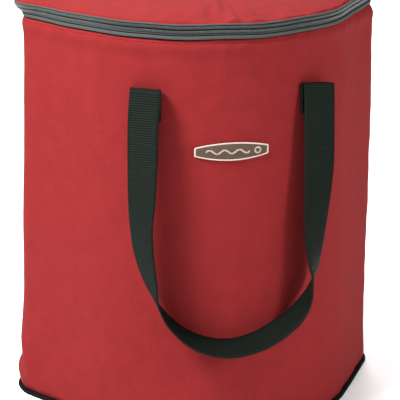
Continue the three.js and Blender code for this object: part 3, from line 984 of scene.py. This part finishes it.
def rim_points(count):
    """Evenly spaced points round the badge's edge."""
    fine = 800
    corners = [badge_rim(i / fine) for i in range(fine + 1)]
    travelled = [0.0]
    for a, b in zip(corners, corners[1:]):
        travelled.append(travelled[-1] + math.dist(a, b))
    points, k = [], 0
    for i in range(count):
        goal = travelled[-1] * i / count
        while travelled[k + 1] < goal:
            k += 1
        step = travelled[k + 1] - travelled[k] or 1.0
        share = (goal - travelled[k]) / step
        points.append([p + (q - p) * share for p, q in zip(corners[k], corners[k + 1])])
    return points


def make_badge():
    cloth = finish_of("woven badge cloth")
    thread = finish_of("embroidery thread")

    def field(u, v):
        x = (2 * u - 1) * BADGE_HALF_LENGTH
        h = (2 * v - 1) * barrel(x)
        puff = 0.0005 * (1 - max(abs(2 * u - 1) ** 8, abs(2 * v - 1) ** 4))
        return badge_place(x, h, 0.0012 + puff)

    mesh = formed_grid(90, 26, field, uv_size=(2 * BADGE_HALF_LENGTH, 2 * BADGE_HALF_HEIGHT))
    patch = piece("badge_field", mesh, cloth, "root", ["badge_patch"])
    thicken(patch, 0.0010)

    # the edge: satin stitches laid side by side over a cord
    count = 300
    rim = rim_points(count)
    width = 0.00072

    def stitched_edge(u, v):
        i = round(u * count)
        x, h = rim[i % count]
        ax, ah = rim[(i - 2) % count]
        bx, bh = rim[(i + 2) % count]
        length = math.hypot(bx - ax, bh - ah)
        nx, nh = -(bh - ah) / length, (bx - ax) / length
        angle = 2 * math.pi * round(v * 10) / 10
        size = width * (1 + 0.10 * math.cos(i * math.pi))
        across = -size * math.cos(angle)
        return badge_place(x + nx * across, h + nh * across, 0.0011 + 0.75 * size * math.sin(angle))

    mesh = formed_grid(count, 10, stitched_edge, uv_size=(0.17, 0.005), weld=SINGLE)
    bmesh.ops.recalc_face_normals(mesh, faces=mesh.faces)
    piece("badge_edging", mesh, thread, "root", ["badge_edging"])

    # a plain wave in place of lettering, as a row of upright stitches, and a small ring of them
    stitches = 88
    start, length, wave_length = -0.0240, 0.0400, 0.0135

    def wave(number, x, y, z):
        along = start + (number + 0.5 + 0.8 * x) * (length / stitches)
        phase = (along - start) * 2 * math.pi / wave_length
        height = 0.0017 * math.sin(phase)
        thick = 0.0006 + 0.0005 * abs(math.cos(phase))
        return badge_place(along, height + y * 2 * thick, 0.0018 + z * 0.0006)

    mesh = laid_row(stitches, wave)
    piece("badge_wave", mesh, thread, "root", [])

    petals = 26

    def ring(number, x, y, z):
        angle = 2 * math.pi * (number + 0.7 * x) / petals
        radius = 0.0026 + y * 0.0016
        return badge_place(0.0236 + radius * math.cos(angle), radius * math.sin(angle), 0.0018 + z * 0.0006)

    mesh = laid_row(petals, ring)
    piece("badge_ring", mesh, thread, "root", [])


# ---- Slider -----------------------------------------------------------------------------------------


def make_slider():
    """The slider and its pull, with their edges rounded as casting leaves them."""
    for node, name, body, rounding in (
        ("zip_slider_body", "zip_slider", "zip_slider", 0.00030),
        ("zip_pull_tab", "zip_pull", "zip_pull", 0.00035),
    ):
        mesh = bmesh.new()
        mesh.from_mesh(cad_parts[node].data)
        bmesh.ops.remove_doubles(mesh, verts=mesh.verts, dist=SINGLE)
        bmesh.ops.dissolve_limit(
            mesh,
            angle_limit=math.radians(2),
            verts=mesh.verts,
            edges=mesh.edges,
            use_dissolve_boundaries=False,
        )
        bmesh.ops.recalc_face_normals(mesh, faces=mesh.faces)
        obj = piece(name + "_metal", mesh, finish_of("painted zinc"), body, [node])
        rounded = obj.modifiers.new("rounded edges", "BEVEL")
        rounded.width = rounding
        rounded.segments = 2
        rounded.limit_method = "ANGLE"
        rounded.angle_limit = math.radians(35)


# ---- Handles ----------------------------------------------------------------------------------------

# Places that the front handle's webbing passes, from the left fold to the right one, in millimetres
# (x, y, z) with its turn in degrees: 0 is flat to the front on the left leg, 90 a shelf, 180 the right.
# The rows of both legs are the rounded output of a program that isn't part of this file, moved outwards
# later. They are kept as they are, but a list like this is not a way of working to copy.
FRONT_ROUTE = (
    (-81.5, -84, 342, 33),
    (-85.4, -91, 315, 37),
    (-87.2, -95, 279.5, 40),
    (-88.8, -97.5, 245.5, 49),
    (-89.8, -99, 219, 60),
    (-88.0, -100, 195, 63),
    (-83.7, -100, 172, 70),
    (-77.7, -99.5, 148.5, 84),
    (-67.0, -100.5, 128.5, 90),
    (-50.4, -105, 111.7, 90),
    (-30.0, -111, 102, 90),
    (-8.0, -115, 99.5, 90),
    (16.0, -114, 103, 90),
    (38.0, -110, 111.4, 90),
    (57.2, -105.5, 124, 93),
    (69.8, -102, 140.8, 102),
    (75.5, -100, 159, 113),
    (76.5, -98, 174, 125),
    (76.7, -97, 194, 140),
    (77.6, -97.5, 221.3, 152),
    (78.8, -97, 244.5, 161),
    (79.9, -95, 271.5, 170),
    (80.6, -90, 313, 172),
    (81.5, -84, 341, 172),
)


def route_point(points, share):
    """A smooth curve through the points (Catmull-Rom), share from 0 to 1."""
    spans = len(points) - 1
    t = min(max(share, 0.0), 1.0) * spans
    i = min(int(t), spans - 1)
    t -= i
    p = [points[min(max(i + k, 0), spans)] for k in (-1, 0, 1, 2)]
    result = []
    for a, b, c, d in zip(*p):
        second = 2 * a - 5 * b + 4 * c - d
        third = 3 * b - a - 3 * c + d
        result.append(0.5 * (2 * b + (c - a) * t + second * t * t + third * t**3))
    return result


def even_shares(points, step):
    """Shares of the route at even distances along it."""
    fine = 1200
    places = [Vector(route_point(points, i / fine)[:3]) * 0.001 for i in range(fine + 1)]
    travelled = [0.0]
    for a, b in zip(places, places[1:]):
        travelled.append(travelled[-1] + (b - a).length)
    count = round(travelled[-1] / step)
    shares, k = [], 0
    for i in range(count + 1):
        goal = travelled[-1] * i / count
        while k < fine - 1 and travelled[k + 1] < goal:
            k += 1
        shares.append((k + (goal - travelled[k]) / (travelled[k + 1] - travelled[k])) / fine)
    return shares


def loop_edges(points, tilt):
    """Both edges of the hanging webbing, row by row."""
    rows = []
    for share in even_shares(points, 0.00055):
        x, y, z, turn = route_point(points, share)
        ahead = Vector(route_point(points, min(1, share + 0.002))[:3])
        behind = Vector(route_point(points, max(0, share - 0.002))[:3])
        along = (ahead - behind).normalized()
        angle = math.radians(turn)
        face = math.copysign(1, y)
        across = Vector(
            (math.cos(angle), face * math.sin(angle) * math.cos(tilt), -math.sin(angle) * math.sin(tilt))
        )
        across = (across - along * across.dot(along)).normalized()
        middle = Vector((x, y, z)) * 0.001
        half = across * WEBBING_WIDTH / 2
        rows.append((middle - half, middle + half))
    return rows


def strap_distance(face, side, strap_x):
    """Distance round the outline to the middle of a sewn end."""
    if face < 0:
        return side * FRONT_RADIUS * math.asin(strap_x / FRONT_RADIUS)
    return side * (HALF_ROUND - strap_x)


def tail_edges(face, side, strap_x):
    """The sewn end from its bottom to the fold, flat on the panel."""
    rows = []
    count = 44
    s = strap_distance(face, side, strap_x)
    _, _, nx, ny = outline(s)
    across = Vector((-ny, nx, 0)) if face < 0 else Vector((1, 0, 0))
    # on the right leg the webbing has turned over, so its edges are swapped
    half = across * WEBBING_WIDTH / 2 * -side
    for i in range(count + 1):
        z = TAIL_BOTTOM + (FOLD - TAIL_BOTTOM) * i / count
        middle = skin(s, WEBBING, z)
        rows.append((middle - half, middle + half))
    return rows


def sloped_shoulder(tail, outer, drop):
    """Lowers the tail's outer top corner, so that the fold above it has a round shoulder."""
    last = len(tail) - 1
    for i, row in enumerate(tail):
        edges = list(row)
        edges[outer] = edges[outer] + Vector((0, 0, -drop * smoothstep(i / last, 0.5, 1.0)))
        tail[i] = tuple(edges)


def folded(tail, leg, rise):
    """The turn over the top, from the tail's last edges to the leg's first ones."""
    rows = []
    count = 24
    for i in range(1, count + 1):
        angle = math.pi * i / count
        row = []
        for start, end in zip(tail, leg):
            middle = (start + end) / 2
            flat = math.copysign(abs(math.cos(angle)) ** 0.7, math.cos(angle))
            row.append(middle + (start - end) / 2 * flat + Vector((0, 0, rise * math.sin(angle))))
        rows.append(tuple(row))
    return rows


def webbing_strip(name, rows, nodes, body):
    """Webbing between two edges: ribs across its length, made as real ridges."""
    travelled = [0.0]
    for a, b in zip(rows, rows[1:]):
        travelled.append(travelled[-1] + ((b[0] + b[1]) / 2 - (a[0] + a[1]) / 2).length)
    last = len(rows) - 1

    def place(u, v):
        a, b = rows[round(u * last)]
        return a.lerp(b, v)

    mesh = formed_grid(last, 10, place, uv_size=(last, WEBBING_WIDTH))
    layer = mesh.loops.layers.uv.active
    mesh.normal_update()
    rib = bpy.context.scene.cooler_bag_sizes.rib_pitch
    moves = []
    for vert in mesh.verts:
        far = travelled[round(vert.link_loops[0][layer].uv.x)]
        moves.append(vert.normal * RIB_RELIEF * math.sin(2 * math.pi * far / rib))
    for face in mesh.faces:
        for loop in face.loops:
            loop[layer].uv.x = travelled[round(loop[layer].uv.x)]
    for vert, move in zip(mesh.verts, moves):
        vert.co += move
    obj = piece(name, mesh, finish_of("polypropylene webbing"), body, nodes)
    thicken(obj, WEBBING, 0.0)
    return obj


def make_handle(name, face, points, strap_xs, rises, reaches):
    """The hanging loop, and its two ends folded over and sewn down. face is -1 for the front."""
    loop = loop_edges(points, math.radians(13))
    webbing_strip(name + "_webbing", loop, [name + "_loop"], name)
    ends = zip((-1, 1), ("left", "right"), strap_xs, rises, reaches)
    for side, word, strap_x, rise, (near, far) in ends:
        tail = tail_edges(face, side, strap_x)
        leg = loop[0] if side < 0 else loop[-1]
        if face < 0 < side:
            sloped_shoulder(tail, 0 if leg[0].x > leg[1].x else 1, 0.0042)
        rows = tail + folded(tail[-1], leg, rise)
        fold = webbing_strip(f"{name}_fold_{word}", rows, [f"{name}_sewn_end_{word}"], None)
        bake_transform(fold)
        make_box_stitch(f"{name}_stitches_{word}", tail)


def make_box_stitch(name, tail):
    """A sewn box with a cross in it, through the webbing's end and the panel."""
    low, high = tail[4], tail[-10]
    inset = 0.14
    corners = [
        low[0].lerp(low[1], inset),
        low[0].lerp(low[1], 1 - inset),
        high[0].lerp(high[1], 1 - inset),
        high[0].lerp(high[1], inset),
    ]
    outward = (low[1] - low[0]).cross(high[0] - low[0]).normalized()
    if outward.dot(Vector((0, low[0].y, 0))) < 0:
        outward = -outward
    places = []
    for a, b in ((0, 1), (1, 2), (2, 3), (3, 0), (0, 2), (1, 3)):
        start, end = corners[a], corners[b]
        count = round((end - start).length / 0.0026)
        for i in range(count):
            places.append((start.lerp(end, (i + 0.5) / count), (end - start).normalized()))

    def place(number, x, y, z):
        middle, along = places[number]
        across = outward.cross(along)
        lift = z * 0.0005 + WEBBING / 2 + 0.0001
        return middle + along * x * 0.0019 + across * y * 0.0006 + outward * lift

    mesh = laid_row(len(places), place)
    piece(name, mesh, finish_of("black thread"), "root", [])


def rear_route():
    """The back handle hangs the same way, closer to the flat back panel."""
    rows = []
    for x, y, z, turn in FRONT_ROUTE:
        leg = min(turn, 180 - turn)
        flat = 90 * smoothstep(leg, 36 if turn < 90 else 8, 84)
        stand = 3.6 + (WEBBING_WIDTH * 500 + 2.0 - 3.6) * math.sin(math.radians(flat))
        back = HALF_DEPTH * 1000 * spread(z / 1000)
        middle = 81.0 if abs(x) > 80 or z > 200 else abs(x)
        rows.append((math.copysign(middle, x), back + stand, z, flat if turn < 90 else 180 - flat))
    return rows


def make_handles():
    # for the left and the right end: where it is sewn on, how high its fold rises, and how far out
    # from the panel its fold starts to move and moves fully
    places, rises, reaches = (0.0785, 0.0760), (0.0016, 0.0010), ((0.0022, 0.0085), (0.0022, 0.0052))
    make_handle("front_handle", -1, FRONT_ROUTE, places, rises, reaches)
    places, rises, reaches = (0.081, 0.081), (0.0014, 0.0014), ((0.0024, 0.0038), (0.0024, 0.0038))
    make_handle("rear_handle", 1, rear_route(), places, rises, reaches)


# ---- Operators --------------------------------------------------------------------------------------


class CoolerBagColours(PropertyGroup):
    """Colours that a user would change."""

    body: FloatVectorProperty(
        name="Body",
        description="Polyester of the body and lid",
        subtype="COLOR",
        size=3,
        default=linear("#6D1D1E")[:3],
        min=0,
        max=1,
    )
    base: FloatVectorProperty(
        name="Base",
        description="Piping and base cloth",
        subtype="COLOR",
        size=3,
        default=linear("#0D0D0E")[:3],
        min=0,
        max=1,
    )
    tape: FloatVectorProperty(
        name="Zip tape",
        description="Zip tape and facings",
        subtype="COLOR",
        size=3,
        default=linear("#3F4341")[:3],
        min=0,
        max=1,
    )
    coil: FloatVectorProperty(
        name="Zip coil",
        description="Nylon coil of the zip",
        subtype="COLOR",
        size=3,
        default=linear("#474C4A")[:3],
        min=0,
        max=1,
    )
    webbing: FloatVectorProperty(
        name="Webbing",
        description="Webbing of both handles",
        subtype="COLOR",
        size=3,
        default=linear("#0D120F")[:3],
        min=0,
        max=1,
    )
    badge: FloatVectorProperty(
        name="Badge",
        description="Woven field of the badge",
        subtype="COLOR",
        size=3,
        default=linear("#4A4035")[:3],
        min=0,
        max=1,
    )
    thread: FloatVectorProperty(
        name="Thread",
        description="Stitched edge and wave of the badge",
        subtype="COLOR",
        size=3,
        default=linear("#B09A92")[:3],
        min=0,
        max=1,
    )


class CoolerBagSizes(PropertyGroup):
    """Sizes that a user would change."""

    tooth_pitch: FloatProperty(
        name="Tooth pitch",
        description="Distance from one turn of the zip's coil to the next",
        default=0.0015,
        min=0.0010,
        max=0.0040,
        precision=4,
        unit="LENGTH",
    )
    stitch_pitch: FloatProperty(
        name="Stitch pitch",
        description="Distance between the stitches under the zip band",
        default=0.0031,
        min=0.0020,
        max=0.0080,
        precision=4,
        unit="LENGTH",
    )
    rib_pitch: FloatProperty(
        name="Webbing rib",
        description="Distance between the ribs of the webbing",
        default=0.0022,
        min=0.0010,
        max=0.0060,
        precision=4,
        unit="LENGTH",
    )


class COOLERBAG_OT_stage(Operator):
    """Adds the studio floor, the lights and the camera"""

    bl_idname = "cooler_bag.stage"
    bl_label = "Stage"

    def execute(self, context):
        make_stage()
        return {"FINISHED"}


class COOLERBAG_OT_skin(Operator):
    """Adds the front and back panels of the body"""

    bl_idname = "cooler_bag.skin"
    bl_label = "Body skin"

    def execute(self, context):
        make_skin()
        return {"FINISHED"}


class COOLERBAG_OT_base(Operator):
    """Adds the piping, the base cloth and the base padding"""

    bl_idname = "cooler_bag.base"
    bl_label = "Base"

    def execute(self, context):
        make_base()
        return {"FINISHED"}


class COOLERBAG_OT_band(Operator):
    """Adds the zip band: facings, tapes and teeth"""

    bl_idname = "cooler_bag.band"
    bl_label = "Zip band"

    def execute(self, context):
        make_band()
        return {"FINISHED"}


class COOLERBAG_OT_lid(Operator):
    """Adds the lid"""

    bl_idname = "cooler_bag.lid"
    bl_label = "Lid"

    def execute(self, context):
        make_lid()
        return {"FINISHED"}


class COOLERBAG_OT_handles(Operator):
    """Adds the webbing of both handles, with its folds, sewn ends and box stitches"""

    bl_idname = "cooler_bag.handles"
    bl_label = "Handles"

    def execute(self, context):
        make_handles()
        return {"FINISHED"}


class COOLERBAG_OT_inside(Operator):
    """Adds the wall padding, the liner and the rim binding"""

    bl_idname = "cooler_bag.inside"
    bl_label = "Inside"

    def execute(self, context):
        make_inside()
        return {"FINISHED"}


class COOLERBAG_OT_badge(Operator):
    """Adds the badge with its stitched edge and wave"""

    bl_idname = "cooler_bag.badge"
    bl_label = "Badge"

    def execute(self, context):
        make_badge()
        return {"FINISHED"}


class COOLERBAG_OT_slider(Operator):
    """Adds the zip slider and its pull"""

    bl_idname = "cooler_bag.slider"
    bl_label = "Slider"

    def execute(self, context):
        make_slider()
        return {"FINISHED"}


class COOLERBAG_PT_pieces(Panel):
    """Lists the pieces"""

    bl_idname = "COOLERBAG_PT_pieces"
    bl_label = "Cooler bag"
    bl_space_type = "VIEW_3D"
    bl_region_type = "UI"
    bl_category = "Cooler bag"

    def draw(self, context):
        for operator in OPERATORS:
            self.layout.operator(operator.bl_idname)


OPERATORS = (
    COOLERBAG_OT_stage,
    COOLERBAG_OT_skin,
    COOLERBAG_OT_base,
    COOLERBAG_OT_band,
    COOLERBAG_OT_lid,
    COOLERBAG_OT_handles,
    COOLERBAG_OT_inside,
    COOLERBAG_OT_badge,
    COOLERBAG_OT_slider,
)
CLASSES = (CoolerBagColours, CoolerBagSizes) + OPERATORS + (COOLERBAG_PT_pieces,)


def register():
    for cls in CLASSES:
        bpy.utils.register_class(cls)
    bpy.types.Scene.cooler_bag_colours = PointerProperty(type=CoolerBagColours)
    bpy.types.Scene.cooler_bag_sizes = PointerProperty(type=CoolerBagSizes)


def unregister():
    del bpy.types.Scene.cooler_bag_sizes
    del bpy.types.Scene.cooler_bag_colours
    for cls in reversed(CLASSES):
        bpy.utils.unregister_class(cls)


def main():
    register()
    bpy.ops.cooler_bag.stage()
    bpy.ops.cooler_bag.skin()
    bpy.ops.cooler_bag.base()
    bpy.ops.cooler_bag.band()
    bpy.ops.cooler_bag.lid()
    bpy.ops.cooler_bag.handles()
    bpy.ops.cooler_bag.inside()
    bpy.ops.cooler_bag.badge()
    bpy.ops.cooler_bag.slider()


if __name__ == "__main__":
    main()
